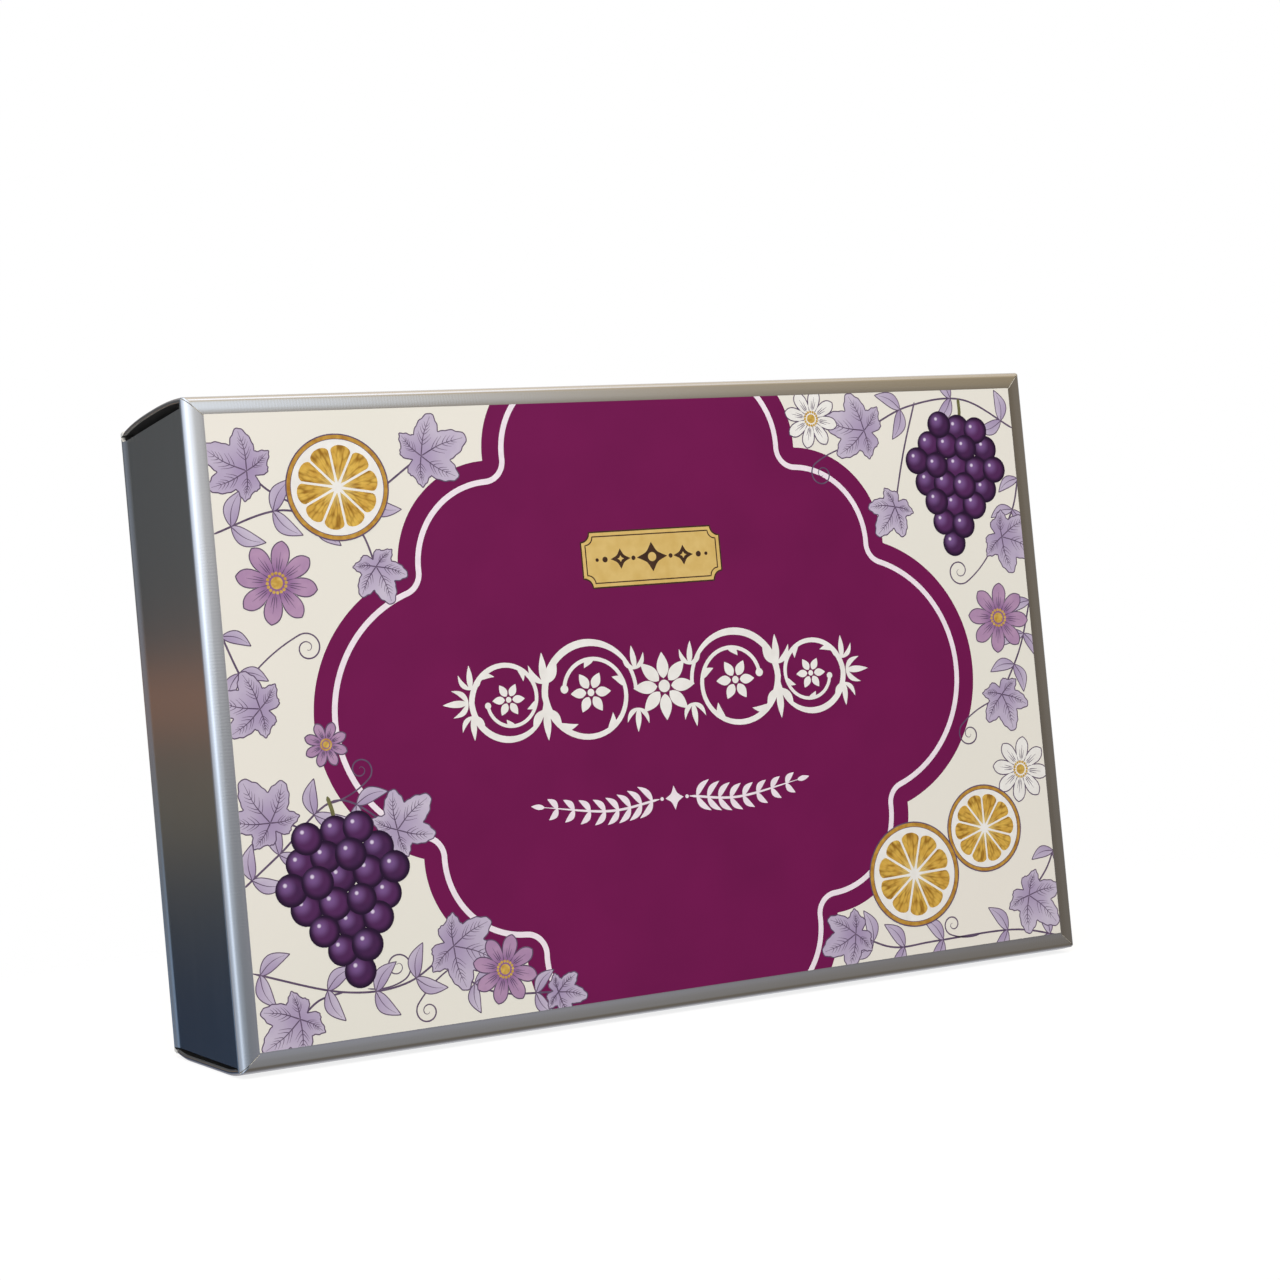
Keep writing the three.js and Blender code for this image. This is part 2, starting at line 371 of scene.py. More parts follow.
def mixed(tree, factor, first, second):
    """A colour mix: first where factor is 0, second where it is 1.

    Each of the two is a socket, a code or three linear numbers.
    """
    ends = [colour(end) if isinstance(end, str) else end for end in (first, second)]
    first, second = (end if isinstance(end, bpy.types.NodeSocket) else (*end, 1) for end in ends)
    return node(tree, "Mix", data_type="RGBA", Factor=factor, A=first,
                B=second).outputs["Result"]


def bumped(tree, height, strength, distance):
    """The normal of a surface that the height raises by up to distance."""
    return node(tree, "Bump", Strength=strength, Distance=distance,
                Height=height).outputs["Normal"]


def material(name):
    """A new node material, its node tree and its Principled shader."""
    made = bpy.data.materials.new(name)
    made.use_nodes = True
    return made, made.node_tree, made.node_tree.nodes["Principled BSDF"]


def node_group(name, inputs, outputs):
    """A new group with named inputs at their values: its tree, its inputs and its end."""
    group = bpy.data.node_groups.new(name, "ShaderNodeTree")
    for key, value in inputs.items():
        group.interface.new_socket(key, in_out="INPUT",
                                   socket_type="NodeSocketFloat").default_value = value
    for key in outputs:
        group.interface.new_socket(key, in_out="OUTPUT", socket_type="NodeSocketFloat")
    return group, group.nodes.new("NodeGroupInput").outputs, group.nodes.new("NodeGroupOutput")


flutes_fade = 7 * MM, 12 * MM       # from the face's edge: where they start to fade, and end


def foil_group():
    """Brushed foil paper: streaks and flutes along the folds, a fine grain and slow waves.

    The map runs in metres, along the folds and then square to them from the face's edge.
    Roughness is a middle value plus streaks and grain. Height adds streaks, grain, waves,
    and the board's flutes as fine ripples that cross the bevel strips and fade beyond.
    """
    group, given, out = node_group("foil", {
        "Roughness": 0.3, "Streak": 0.06, "Wave": 0.12, "Grain": 0.03, "Flute": 0.009,
    }, ("Roughness", "Height", "Tone"))
    place = node(group, "TexCoord").outputs
    stretched = node(group, "Mapping", Vector=place["UV"], Scale=(0.02, 1, 1)).outputs["Vector"]
    streak = node(group, "TexNoise", Vector=stretched, Scale=700, Detail=3)
    grain = node(group, "TexNoise", Vector=place["Object"], Scale=2600, Detail=1)
    wave = node(group, "TexNoise", Vector=place["Object"], Scale=16, Detail=1.5)
    flute = node(group, "TexWave", Vector=place["UV"], Scale=250, Distortion=3, Detail=2,
                 Detail_Scale=0.6)
    from_face = node(group, "SeparateXYZ", Vector=place["UV"]).outputs["Y"]
    on_strip = mapped(group, from_face, *flutes_fade, 1, 0, "LINEAR")

    def centred(texture, amount):
        """(texture - 0.5) * amount"""
        low = maths(group, "SUBTRACT", texture.outputs["Fac"], 0.5)
        return maths(group, "MULTIPLY", low, given[amount])

    ripple = maths(group, "MULTIPLY", centred(flute, "Flute"), on_strip)
    fine = maths(group, "ADD", centred(streak, "Streak"), centred(grain, "Grain"))
    slow = maths(group, "ADD", fine, centred(wave, "Wave"))
    wire(out, Roughness=maths(group, "ADD", given["Roughness"], fine),
         Height=maths(group, "ADD", slow, ripple), Tone=streak.outputs["Fac"])
    return group


foil = foil_group()


def silver(name, shade, roughness):
    """Aluminium-faced paper under a thin clear lacquer, from the foil group."""
    made, tree, shader = material(name)
    surface = node(tree, "Group", node_tree=foil, Roughness=roughness).outputs
    darker = [part * 0.93 for part in shade]
    wire(shader, Base_Color=mixed(tree, surface["Tone"], darker, shade), Metallic=1,
         Roughness=surface["Roughness"], Normal=bumped(tree, surface["Height"], 0.35, 0.0008))
    return made


def card_paper(name, light, dark, scale):
    """Uncoated board: fibres as a noise that mixes a light and a dark tone."""
    made, tree, shader = material(name)
    place = node(tree, "TexCoord").outputs["Object"]
    fibre = node(tree, "TexNoise", Vector=place, Scale=scale, Detail=5,
                 Roughness=0.7).outputs["Fac"]
    wire(shader, Base_Color=mixed(tree, fibre, dark, light), Roughness=0.85,
         Normal=bumped(tree, fibre, 0.3, 0.0001))
    return made


silver_card = silver("silver_card", (0.80, 0.80, 0.81), 0.19)
# The inside board's fibres are its own, but its near-black tone is painted shade that keeps the slots
# and the hollows behind them dark.
inside_board_painted_shade = card_paper("inside_board_painted_shade", (0.05, 0.044, 0.04), (0.028, 0.025, 0.022), 700)
card_edge = card_paper("card_edge", (0.9, 0.87, 0.8), (0.72, 0.68, 0.6), 1800)
for look in (silver_card, inside_board_painted_shade, card_edge):
    lid.data.materials.append(look)
settle(lid)
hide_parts("lid")
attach(lid, "root")

# ---------------------------------------------------------------------------------------
# The base. A second blank of the same card with plain creases: the floor, seen from
# behind inside the lid's rim, two long walls with ears, and two rolled end walls.
# ---------------------------------------------------------------------------------------

base_low, base_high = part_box("base")
base_crease = 1.2 * MM
base_radius = 0.9 * MM
base_slot = 2.4 * MM
base = folded_card(
    "base_card", half=base_high.x, foot=base_low.z, top=base_high.z, plane=base_high.y,
    inwards=-1, bevel=base_crease, face=0.0, fold=base_crease,
    rim=base_high.y - base_low.y, radius=base_radius, end_radii=(base_radius, base_radius),
    slot_start=(0.6 * MM, 1.8 * MM), slot_top=base_slot, slot_foot=base_slot)
base_card = silver("base_card", (0.78, 0.78, 0.8), 0.3)
for look in (base_card, inside_board_painted_shade, card_edge):
    base.data.materials.append(look)
settle(base)
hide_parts("base")
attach(base, "root")

# ---------------------------------------------------------------------------------------
# The printed sheet. Coated paper in ivory, cut to the flat of the face and glued down.
# The inks lie on it in thin films, each one a step nearer the front than the last.
# ---------------------------------------------------------------------------------------

ink = 0.012 * MM
ink_steps = 16
film_gap = 0.02               # between shapes next to each other, in inks
sheet_front = front + ink_steps * ink
edge_x = sheet_high.x / MM
edge_z = (sheet_high.z - sheet_low.z) / 2 / MM


def unit_map(rows, cols):
    """A map that runs from 0 to 1 along the columns and down the rows."""
    return np.stack(np.meshgrid(np.linspace(0, 1, cols), np.linspace(0, 1, rows)), -1)


def closed_film(name, shapes, near, thick, weld=2e-7):
    """Flat shapes, each as one thin closed solid from the depth near to near + thick.

    A shape is (grid, uv, tone, step): a (rows, columns, 2) grid of X and Z in millimetres
    from the face's middle, its map, a number that sets its shade apart, and how many inks
    nearer the front it lies. Front and back are the grid at two depths, and walls join
    their edges, except where the grid closes on itself or shrinks to a point. Shapes
    next to each other in the list lie film_gap inks apart, so none coincide.
    """
    patches, tones = [], []
    for number, (grid, uv, tone, step) in enumerate(shapes):
        grid = grid * MM + (0, middle)
        depth = near - (step + film_gap * (number % 8)) * ink
        first = np.insert(grid, 1, depth, axis=-1)
        second = np.insert(grid, 1, depth + thick, axis=-1)
        down, across = grid[1:, :-1] - grid[:-1, :-1], grid[1:, 1:] - grid[1:, :-1]
        flip = np.cross(down, across).sum() > 0
        made = [(first, uv, flip), (second, uv, not flip)]
        is_round = np.allclose(grid[:, 0], grid[:, -1], atol=weld)
        for edge, turned, across_it in (
                (np.s_[0, :], True, False), (np.s_[-1, :], False, False),
                (np.s_[:, 0], False, True), (np.s_[:, -1], True, True)):
            if np.ptp(grid[edge], axis=0).max() < weld or (is_round and across_it):
                continue
            wall, wall_uv = np.stack([first[edge], second[edge]]), np.stack([uv[edge]] * 2)
            made.append((wall, wall_uv, flip != turned))
        tones += [np.full((g.shape[0] - 1) * (g.shape[1] - 1), tone) for g, _, _ in made]
        patches += made
    mesh = patch_mesh(name, patches, weld, np.concatenate(tones))
    mesh.polygons.foreach_set("use_smooth", np.zeros(len(mesh.polygons), bool))
    piece = bpy.data.objects.new(name, mesh)
    bpy.context.collection.objects.link(piece)
    return piece


def trim(piece):
    """Cuts off what runs over the sheet's four edges and closes the cuts."""
    made = bmesh.new()
    made.from_mesh(piece.data)
    for normal, reach in (((1, 0, 0), edge_x), ((-1, 0, 0), edge_x),
                          ((0, 0, 1), edge_z), ((0, 0, -1), edge_z)):
        at = np.array(normal) * reach * MM + (0, 0, middle)
        whole = made.verts[:] + made.edges[:] + made.faces[:]
        bmesh.ops.bisect_plane(made, geom=whole, dist=1e-8, plane_co=at, plane_no=normal,
                               clear_outer=True)
        open_edges = [edge for edge in made.edges if edge.is_boundary]
        bmesh.ops.holes_fill(made, edges=open_edges)
    made.to_mesh(piece.data)
    made.free()


def printed(name, shapes, layer, look):
    """Shapes as one film of ink, trimmed to the sheet, on that layer, in that material."""
    shapes = [shape if len(shape) == 4 else (*shape, 0) for shape in shapes]
    piece = closed_film(name, shapes, sheet_front - (layer + 1) * ink, 0.8 * ink)
    trim(piece)
    piece.data.materials.append(look)
    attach(piece, "root")
    return piece


def print_group():
    """Ink on coated paper: a mottle between 0 and 1, and the height of the paper's grain."""
    group, given, out = node_group("print", {"Mottle Scale": 60, "Grain Scale": 1500},
                                   ("Mottle", "Height"))
    place = node(group, "TexCoord").outputs["Object"]
    cloud, grain = (
        node(group, "TexNoise", Detail=2, Vector=place, Scale=given[size]).outputs["Fac"]
        for size in ("Mottle Scale", "Grain Scale"))
    wire(out, Mottle=mapped(group, cloud, 0.3, 0.7, way="LINEAR"), Height=grain)
    return group


print_surface = print_group()


def distance_from(tree, socket, point):
    """How far a mapped position lies from a point of the map."""
    made = node(tree, "VectorMath", operation="DISTANCE", Vector=socket)
    made.inputs[1].default_value = (*point, 0)
    return made.outputs["Value"]


def ink_look(name, light, dark, scale=60, roughness=0.42):
    """An ink's material, with its two mottled tones as a socket and its UV map as another."""
    made, tree, shader = material(name)
    surface = node(tree, "Group", node_tree=print_surface, Mottle_Scale=scale).outputs
    tone = mixed(tree, surface["Mottle"], dark, light)
    wire(shader, Base_Color=tone, Roughness=roughness, Specular_IOR_Level=0.3,
         Normal=bumped(tree, surface["Height"], 0.12, 0.00006))
    return made, tree, shader, tone, node(tree, "TexCoord").outputs["UV"]


flat = np.stack(np.meshgrid(np.linspace(-edge_x, edge_x, 38),
                            np.linspace(-edge_z, edge_z, 26)), -1)
sheet = closed_film("ivory_sheet", [(flat, unit_map(26, 38), 0, 0)], sheet_front,
                    paper - ink_steps * ink)
sheet.data.materials.append(ink_look("ivory_paper", "efe9de", "ece8dc", 9, 0.4)[0])
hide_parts("printed_sheet")
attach(sheet, "root")

# ---------------------------------------------------------------------------------------
# The plum field: a scalloped medallion that runs off the top and the foot of the face,
# with a pale line along its edge and a second one set in from it. Solid spot colour.
# ---------------------------------------------------------------------------------------

scallops = ((92, 0, 60), (70, 58, 42), (30, 102, 42))    # middle x, middle z, radius


def medallion(z):
    """Half the field's width at height z: the furthest x that any of the circles reaches."""
    reach = [x + np.sqrt(np.maximum(r * r - (abs(z) - mid) ** 2, 0))
             for x, mid, r in scallops]
    inside = [abs(abs(z) - mid) < r for _, mid, r in scallops]
    return np.max(np.where(inside, reach, 0), axis=0)


def set_in(z, gap):
    """The field's edge moved inwards by gap: the least of the edge moved along any angle."""
    angle = np.radians(np.linspace(-90, 90, 181))
    return (medallion(z[:, None] + gap * np.sin(angle)) - gap * np.cos(angle)).min(1)


def even_heights(edge, count):
    """Heights from foot to top that are evenly spaced along the line x = edge(z)."""
    z = np.linspace(-edge_z, edge_z, 6001)
    past = run_along(joined(edge(z), z))
    return np.interp(np.linspace(0, past[-1], count), past, z)


def band(inner, outer, z, side):
    """The strip between two edges on one side, as a shape of three rows."""
    x = inner + (outer - inner) * np.array([0, 0.5, 1])[:, None]
    return joined(side * x, z), unit_map(3, len(z)), 0


z = even_heights(medallion, 700)
field = joined(medallion(z)[:, None] * np.linspace(-1, 1, 13), z[:, None])
printed("plum_field", [(field, unit_map(*field.shape[:2]), 0)], 1,
        ink_look("plum_ink", "741050", "6e0e4c", 30, 0.4)[0])
pale_ink = ink_look("pale_ink", "f6eaf0", "eee0e8", 300)[0]
edges = [band(set_in(z, -0.8), set_in(z, 0.0), z, side) for side in (-1, 1)]
printed("field_edge", edges, 0, pale_ink)
z = even_heights(lambda at: set_in(at, 8.5), 700)
edges = [band(set_in(z, 9.7), set_in(z, 7.4), z, side) for side in (-1, 1)]
printed("field_keyline", edges, 2, pale_ink)

# ---------------------------------------------------------------------------------------
# The leaves: lilac vine leaves of five lobes with a drawn edge and drawn veins, on thin
# drawn stems with tendrils. Printed over the field's edge.
# ---------------------------------------------------------------------------------------


def placed(points, at, turn=0.0, size=1.0):
    """Points turned by turn degrees, scaled by size and moved to at."""
    c, s = np.cos(np.radians(turn)), np.sin(np.radians(turn))
    return np.array(points) @ np.array([[c, s], [-s, c]]) * size + np.array(at)


def fan(outline, at, turn, size, tone=0.0, rings=6, step=0):
    """A shape filled from its middle: rings of the outline shrunk in equal steps."""
    local = outline * np.linspace(0, 1, rings)[:, None, None]
    return placed(local, at, turn, size), 0.5 + 0.5 * local, tone, step


def ray(angle):
    """The point of the unit circle at that angle."""
    return np.stack([np.cos(angle), np.sin(angle)], -1)


def circle(count):
    """The unit circle as a closed line."""
    return ray(np.linspace(0, 2 * np.pi, count + 1))


def disc(at, radius, count=16, rings=2, step=0):
    """A round shape, filled from its middle."""
    return fan(circle(count), at, 0, radius, 0, rings, step)


def stroke(path, width, taper=(0.15, 0.15), least=0.12, step=0):
    """A drawn line: the path widened square to itself, narrowing over taper at its ends.

    There the width is the full one times the share of the taper to the power 0.6, and no
    less than least to that power. A path that ends where it starts is widened evenly.
    """
    path = np.array(path, float)
    ring = np.allclose(path[0], path[-1])
    ahead = np.gradient(np.concatenate([path[-2:-1], path, path[1:2]]), axis=0)[1:-1]
    share = np.linspace(0, 1, len(path))
    starts = np.clip(share / taper[0], least, 1) ** 0.6
    ends = np.clip((1 - share) / taper[1], least, 1) ** 0.6
    if ring:
        starts = ends = np.ones(len(path))
    else:
        ahead = np.gradient(path, axis=0)
    ahead /= np.maximum(np.linalg.norm(ahead, axis=1), 1e-9)[:, None]
    half = (width / 2 * starts * ends)[:, None] * np.stack([-ahead[:, 1], ahead[:, 0]], -1)
    grid = np.stack([path - half, path, path + half])
    return grid, unit_map(3, len(path)), 0.0, step


def smooth(points, count=40):
    """A Catmull-Rom line through the points, which starts and ends on the outer two."""
    p = np.array(points, float)
    p = np.concatenate([[2 * p[0] - p[1]], p, [2 * p[-1] - p[-2]]])
    at = np.linspace(0, len(p) - 3 - 1e-9, count)
    i, t = at.astype(int), (at % 1)[:, None]
    a, b, c, d = p[i], p[i + 1], p[i + 2], p[i + 3]
    return 0.5 * (2 * b + (c - a) * t + (2 * a - 5 * b + 4 * c - d) * t ** 2
                  + (3 * b - a - 3 * c + d) * t ** 3)


def tendril(start, middle, turns, radius, last=0.12):
    """A curved line from start that runs on into a spiral round middle.

    The spiral's radius shrinks evenly to the share last. Its first point lies square to
    the way from start to middle, and the line, a quadratic curve, comes in along that way.
    """
    start, middle = np.array([start, middle], float)
    ahead = (middle - start) / np.hypot(*(middle - start))
    aside = np.array([ahead[1], -ahead[0]]) * np.sign(turns)
    share = np.linspace(0, 1, 60)[:, None]
    angle = 2 * np.pi * abs(turns) * share
    reach = radius * (1 - (1 - last) * share)
    coil = middle + reach * (np.cos(angle) * aside + np.sin(angle) * ahead)
    bend = coil[0] - 0.5 * np.hypot(*(coil[0] - start)) * ahead
    t = np.linspace(0, 1, 14)[:-1, None]
    line = (1 - t) ** 2 * start + 2 * t * (1 - t) * bend + t * t * coil[0]
    return np.concatenate([line, coil])


def leaflet(at, turn, length, width, bend=0.12, step=0):
    """A leaflet: a bent path, widened by the sine of its share of the length."""
    share = np.linspace(0, 1, 15)
    path = np.stack([share, bend * np.sin(np.pi * share)], -1)
    half = width / length / 2 * np.sin(np.pi * share ** 0.8) ** 0.9
    offset = half[:, None] * np.array([0, 1])
    grid = np.stack([path - offset, path, path + offset])
    return placed(grid, at, turn, length), unit_map(3, 15), 0.0, step


lobe_angles = np.radians([0, 52, -52, 112, -112])
lobe_lengths = np.array([1.0, 0.84, 0.84, 0.58, 0.58])
lobe_spread = np.radians(38)
leaf_teeth, tooth_height = 34, 0.045
side_veins = 0.3, 0.42, 0.54, 0.66, 0.77    # where they leave a main vein
vein_lean = np.radians(40)


def leaf_edge(count=240):
    """A vine leaf's outline: the longest of five pointed lobes at each angle, with teeth.

    A lobe is its length * (1 - 0.58 * (angle from its middle / lobe_spread) ^ 1.15). The
    stalk's notch takes off 0.55 * e to the minus (angle from the stalk / 0.28) squared.
    """
    angle = np.linspace(-np.pi, np.pi, count + 1)
    away = abs(angle[:, None] - lobe_angles) / lobe_spread
    lobes = lobe_lengths * (1 - 0.58 * np.clip(away, 0, 1) ** 1.15)
    radius = np.max(lobes, axis=1) * (1 - 0.55 * np.exp(-((np.pi - abs(angle)) / 0.28) ** 2))
    saw = abs((angle * leaf_teeth / (2 * np.pi)) % 1 * 2 - 1)
    teeth = 1 + tooth_height * (1 - saw)
    return ray(angle) * (radius * teeth)[:, None]


def vine_leaf(at, turn, size, tone):
    """A leaf's fill and its drawn lines: the edge, five main veins and their side veins."""
    outline = leaf_edge()
    fill = fan(outline, at, turn, size, tone)
    lines = [stroke(placed(outline, at, turn, size), 0.45)]
    for angle, length in zip(lobe_angles, lobe_lengths):
        ahead = ray(angle)
        tip = 0.93 * length * ahead
        bow = 0.05 * length * np.array([-ahead[1], ahead[0]]) * np.sign(angle or 1)
        vein = smooth([(0, 0), tip / 2 + bow, tip], 20)
        lines.append(stroke(placed(vein, at, turn, size), 0.5, (0.001, 0.8)))
        for share in side_veins:
            start = vein[int(share * 19)]
            for side in (-1, 1):
                reach = 0.34 * length * (1 - share) + 0.03
                end = start + reach * ray(angle + side * vein_lean) + 0.02 * ahead
                side_vein = smooth([start, (start + end) / 2 - 0.02 * ahead, end], 6)
                lines.append(stroke(placed(side_vein, at, turn, size), 0.32, (0.001, 0.9)))
    return fill, lines


leaves = (    # at x, at z, turn, size, tone
    (-98, 103, 20, 21, 0.1), (-170, 100, 150, 20, 0.25), (-121, 60, -70, 16, 0.0),
    (-173, 8, 165, 19, 0.15), (-173, -36, 120, 20, 0.2), (-122, -44, 40, 19, 0.05),
    (-103, -92, -25, 22, 0.15), (-168, -112, 215, 19, 0.1), (108, 106, 165, 21, 0.1),
    (174, 56, -25, 20, 0.2), (120, 72, -130, 16, 0.0), (166, -14, -75, 17, 0.15),
    (170, -104, -45, 20, 0.05), (80, -110, 200, 18, 0.25), (-60, -116, -15, 13, 0.2))
stems = (
    [(-186, 76), (-160, 84), (-132, 82), (-98, 103)], [(-150, 85), (-162, 92), (-170, 100)],
    [(-136, 82), (-126, 74), (-121, 60)], [(-186, 38), (-180, 22), (-173, 8)],
    [(-186, -60), (-170, -48), (-146, -30), (-122, -44)], [(-160, -40), (-168, -36), (-173, -36)],
    [(-186, -92), (-150, -104), (-124, -104), (-103, -92)], [(-150, -104), (-160, -106), (-168, -112)],
    [(-110, -96.5), (-88, -112), (-60, -116)], [(186, 104), (160, 118), (132, 116), (108, 106)],
    [(186, 84), (182, 70), (174, 56)], [(135, 117.7), (127, 96), (120, 72)],
    [(186, 28), (178, 6), (166, -14)], [(186, -84), (180, -94), (170, -104)],
    [(186, -124), (160, -118), (120, -118), (98, -118), (80, -110)])
tendrils = (    # from x and z to the spiral's middle, its turns and its radius
    ((-178, 18), (-152, 30), -1.6, 6), ((-148, -31), (-135, -19), 1.5, 5),
    ((-140, -104), (-127, -97), 1.5, 6), ((104, 100), (85, 88), 1.5, 5.5),
    ((170, 54), (150, 42), -1.5, 6), ((163, -16), (147, -30), 1.6, 5.5),
    ((142, -118), (129, -112), -1.4, 4.5), ((-104, -100), (-116, -116), 1.5, 5))
sprays = (    # on stem number; from and to that share of it; pairs and their length
    (0, 0.12, 0.78, 4, 15), (3, 0.05, 0.5, 2, 12), (4, 0.1, 0.8, 4, 14), (6, 0.05, 0.75, 4, 14),
    (8, 0.35, 0.85, 2, 12), (9, 0.1, 0.75, 3, 14), (10, 0.1, 0.6, 2, 12), (12, 0.05, 0.7, 3, 13),
    (13, 0.1, 0.5, 1, 12), (14, 0.08, 0.9, 5, 14))
fills, lines = [], []
for place in leaves:
    fill, drawn = vine_leaf(place[:2], *place[2:])
    fills.append(fill)
    lines += drawn
for number, first, last, pairs, long in sprays:
    stem = smooth(stems[number], 60)
    for share in np.linspace(first, last, pairs):
        at, ahead = stem[int(share * 58)], np.diff(stem, axis=0)[int(share * 58)]
        for side in (-1, 1):
            turn = np.degrees(np.arctan2(ahead[1], ahead[0])) + side * 48
            grid, uv, _, _ = leaflet(at, turn, long, 0.42 * long, 0.12 * side)
            fills.append((grid, 0.5 + 0.3 * uv, 0.1 + 0.1 * side, -0.45 - 0.1 * (number % 3)))
            outline = np.concatenate([grid[0], grid[2, ::-1]])
            lines.append(stroke(outline, 0.4, step=-1.2))
            lines.append(stroke(grid[1, :-2], 0.4, (0.001, 0.9), step=-1.2))

leaf_ink, tree, shader, tone, uv = ink_look("lilac_ink", "cfc4d4", "c1b3ca", 130)
shade = node(tree, "Attribute", attribute_name="tone").outputs["Fac"]
heart = mapped(tree, distance_from(tree, uv, (0.5, 0.5)), 0.0, 0.36, 0.75, 0.0)
deeper = maths(tree, "ADD", heart, shade, use_clamp=True)
wire(shader, Base_Color=mixed(tree, deeper, tone, "a692b4"))
line_ink = ink_look("line_ink", "6a5870", "574560", 300)[0]
printed("stems", [stroke(smooth(path, 36), 0.8, (0.01, 0.01)) for path in stems], 3, line_ink)
printed("tendrils", [stroke(tendril(*place), 0.6, (0.02, 0.5)) for place in tendrils], 3,
        line_ink)
printed("vine_leaves", fills, 4, leaf_ink)
printed("leaf_lines", lines, 5, line_ink)

# ---------------------------------------------------------------------------------------
# The blossoms: eight pointed petals round a gold heart, in mauve, and two in white that
# are drawn in outline only.
# ---------------------------------------------------------------------------------------

petals = 8


def blossom_edge(count=192):
    """A blossom's outline: full at each petal's middle, pointed, and deep between petals.

    With off from 0 at a petal's middle to 1 between two petals, the radius is
    0.44 + 0.5 * (1 - off ^ 2.4) ^ 0.7 + 0.06 * (1 - off) ^ 3.
    """
    angle = np.linspace(0, 2 * np.pi, count + 1)
    off = abs((angle * petals / (2 * np.pi)) % 1 * 2 - 1)
    radius = 0.44 + 0.50 * (1 - off ** 2.4) ** 0.7 + 0.06 * (1 - off) ** 3
    return ray(angle) * radius[:, None]


def blossom_lines(at, turn, size):
    """The drawn edge, and in each petal a fold line between two shorter hatch lines."""
    lines = [stroke(placed(blossom_edge(), at, turn, size), 0.45)]
    for petal in range(petals):
        for lean, first, last in ((0, 0.26, 0.74), (-7, 0.32, 0.6), (7, 0.32, 0.6),
                                  (22.5, 0.24, 0.45)):
            ahead = ray(np.radians((petal + 0.5) * 360 / petals + lean))
            path = np.linspace(first, last, 6)[:, None] * ahead
            lines.append(stroke(placed(path, at, turn, size), 0.36, (0.2, 0.8)))
    return lines


mauve = ((-162, 56, 10, 16.5, 0.0), (-82, -104, 5, 14, 0.1), (168, 20, 15, 15.5, 0.05),
         (-148, -8, 0, 9, 0.2))
white = ((82, 112, 8, 13, 0.0), (172, -48, 12, 14.5, 0.0))
fills = [fan(blossom_edge(), place[:2], *place[2:]) for place in mauve]
blossom_ink, tree, shader, tone, uv = ink_look("mauve_ink", "b995b4", "ab87aa", 160)
heart = mapped(tree, distance_from(tree, uv, (0.5, 0.5)), 0.06, 0.34, 1.0, 0.0)
wire(shader, Base_Color=mixed(tree, heart, tone, "8a5f92"))
printed("mauve_blossoms", fills, 6, blossom_ink)
fills = [fan(blossom_edge(), place[:2], *place[2:]) for place in white]
white_ink = ink_look("white_ink", "f4f1ec", "ece8e2", 200)[0]
printed("white_blossoms", fills, 6, white_ink)
lines, hearts, anthers = [], [], []
for x, at_z, turn, size, _ in mauve + white:
    lines += blossom_lines((x, at_z), turn, size)
    hearts.append(disc((x, at_z), 0.15 * size, 24, 3))
    spots = circle(16)[:-1] * 0.23 * size + (x, at_z)
    anthers += [disc(spot, 0.032 * size + 0.15, 8) for spot in spots]
printed("blossom_lines", lines, 7, line_ink)
heart_ink = ink_look("heart_ink", "d9b65c", "b98c3a", 700)[0]
printed("blossom_hearts", hearts, 7, heart_ink)
printed("blossom_anthers", anthers, 8, heart_ink)

# ---------------------------------------------------------------------------------------
# The citrus slices: an amber rind, white pith and ten golden wedges with their cells
# drawn towards the middle.
# ---------------------------------------------------------------------------------------

wedges = 10


def wedge(at, turn, size, part):
    """One wedge: a sector with a gap to its neighbours, its corners rounded off.

    Row by row from the middle out, its half angle is the sector's less the gap, and both
    the first and the last rows draw in by a quarter circle.
    """
    out = 0.5 - 0.5 * np.cos(np.linspace(0, np.pi, 21))
    radius = 0.1 + 0.7 * out
    square_gap = np.arcsin(np.clip(0.022 / radius, 0, 0.9))
    corner = np.sqrt(1 - 0.97 * np.clip((out - 0.84) / 0.16, 0, 1) ** 2)
    tip = np.clip(out / 0.12, 0.03, 1) ** 0.5
    half = np.maximum(np.pi / wedges - square_gap, 0.01) * corner * tip
    angle = part * 2 * np.pi / wedges + half[:, None] * np.linspace(-1, 1, 9)
    local = ray(angle) * radius[:, None, None]
    return placed(local, at, turn, size), 0.5 + 0.5 * local, part % 3 * 0.5, 0


slices = (-134, 92, 8, 21, 0), (112, -88, 20, 22.5, 0), (150, -72, 0, 19, -3)
rinds = [disc((x, at_z), size, 72, 3, step) for x, at_z, _, size, step in slices]
piths = [disc((x, at_z), 0.91 * size, 72, 3, step)
         for x, at_z, _, size, step in slices]
cells = [(*wedge((x, at_z), turn, size, part)[:3], step)
         for x, at_z, turn, size, step in slices for part in range(wedges)]
rims = [stroke(circle(72) * size * reach + (x, at_z), wide, step=step)
        for x, at_z, _, size, step in slices for reach, wide in ((1.0, 0.5), (0.91, 0.25))]
printed("slice_rinds", rinds, 9, ink_look("rind_ink", "c99b45", "a9762c", 420)[0])
printed("slice_piths", piths, 10, white_ink)
cell_ink, tree, shader, tone, uv = ink_look("cell_ink", "e2b955", "cf9f42", 260)
around = node(tree, "VectorMath", operation="SUBTRACT", Vector=uv)
around.inputs[1].default_value = (0.5, 0.5, 0)
dial = node(tree, "TexGradient", gradient_type="RADIAL", Vector=around.outputs["Vector"])
reach = distance_from(tree, uv, (0.5, 0.5))
polar = node(tree, "CombineXYZ", X=dial.outputs["Fac"], Y=reach).outputs["Vector"]
stretched = node(tree, "Mapping", Vector=polar, Scale=(70, 12, 1)).outputs["Vector"]
drops = node(tree, "TexVoronoi", Vector=stretched, Scale=1).outputs["Distance"]
pulp = mixed(tree, mapped(tree, drops, 0.3, 1.0), tone, "96691f")
light_heart = mapped(tree, reach, 0.03, 0.22, 0.6, 0.0)
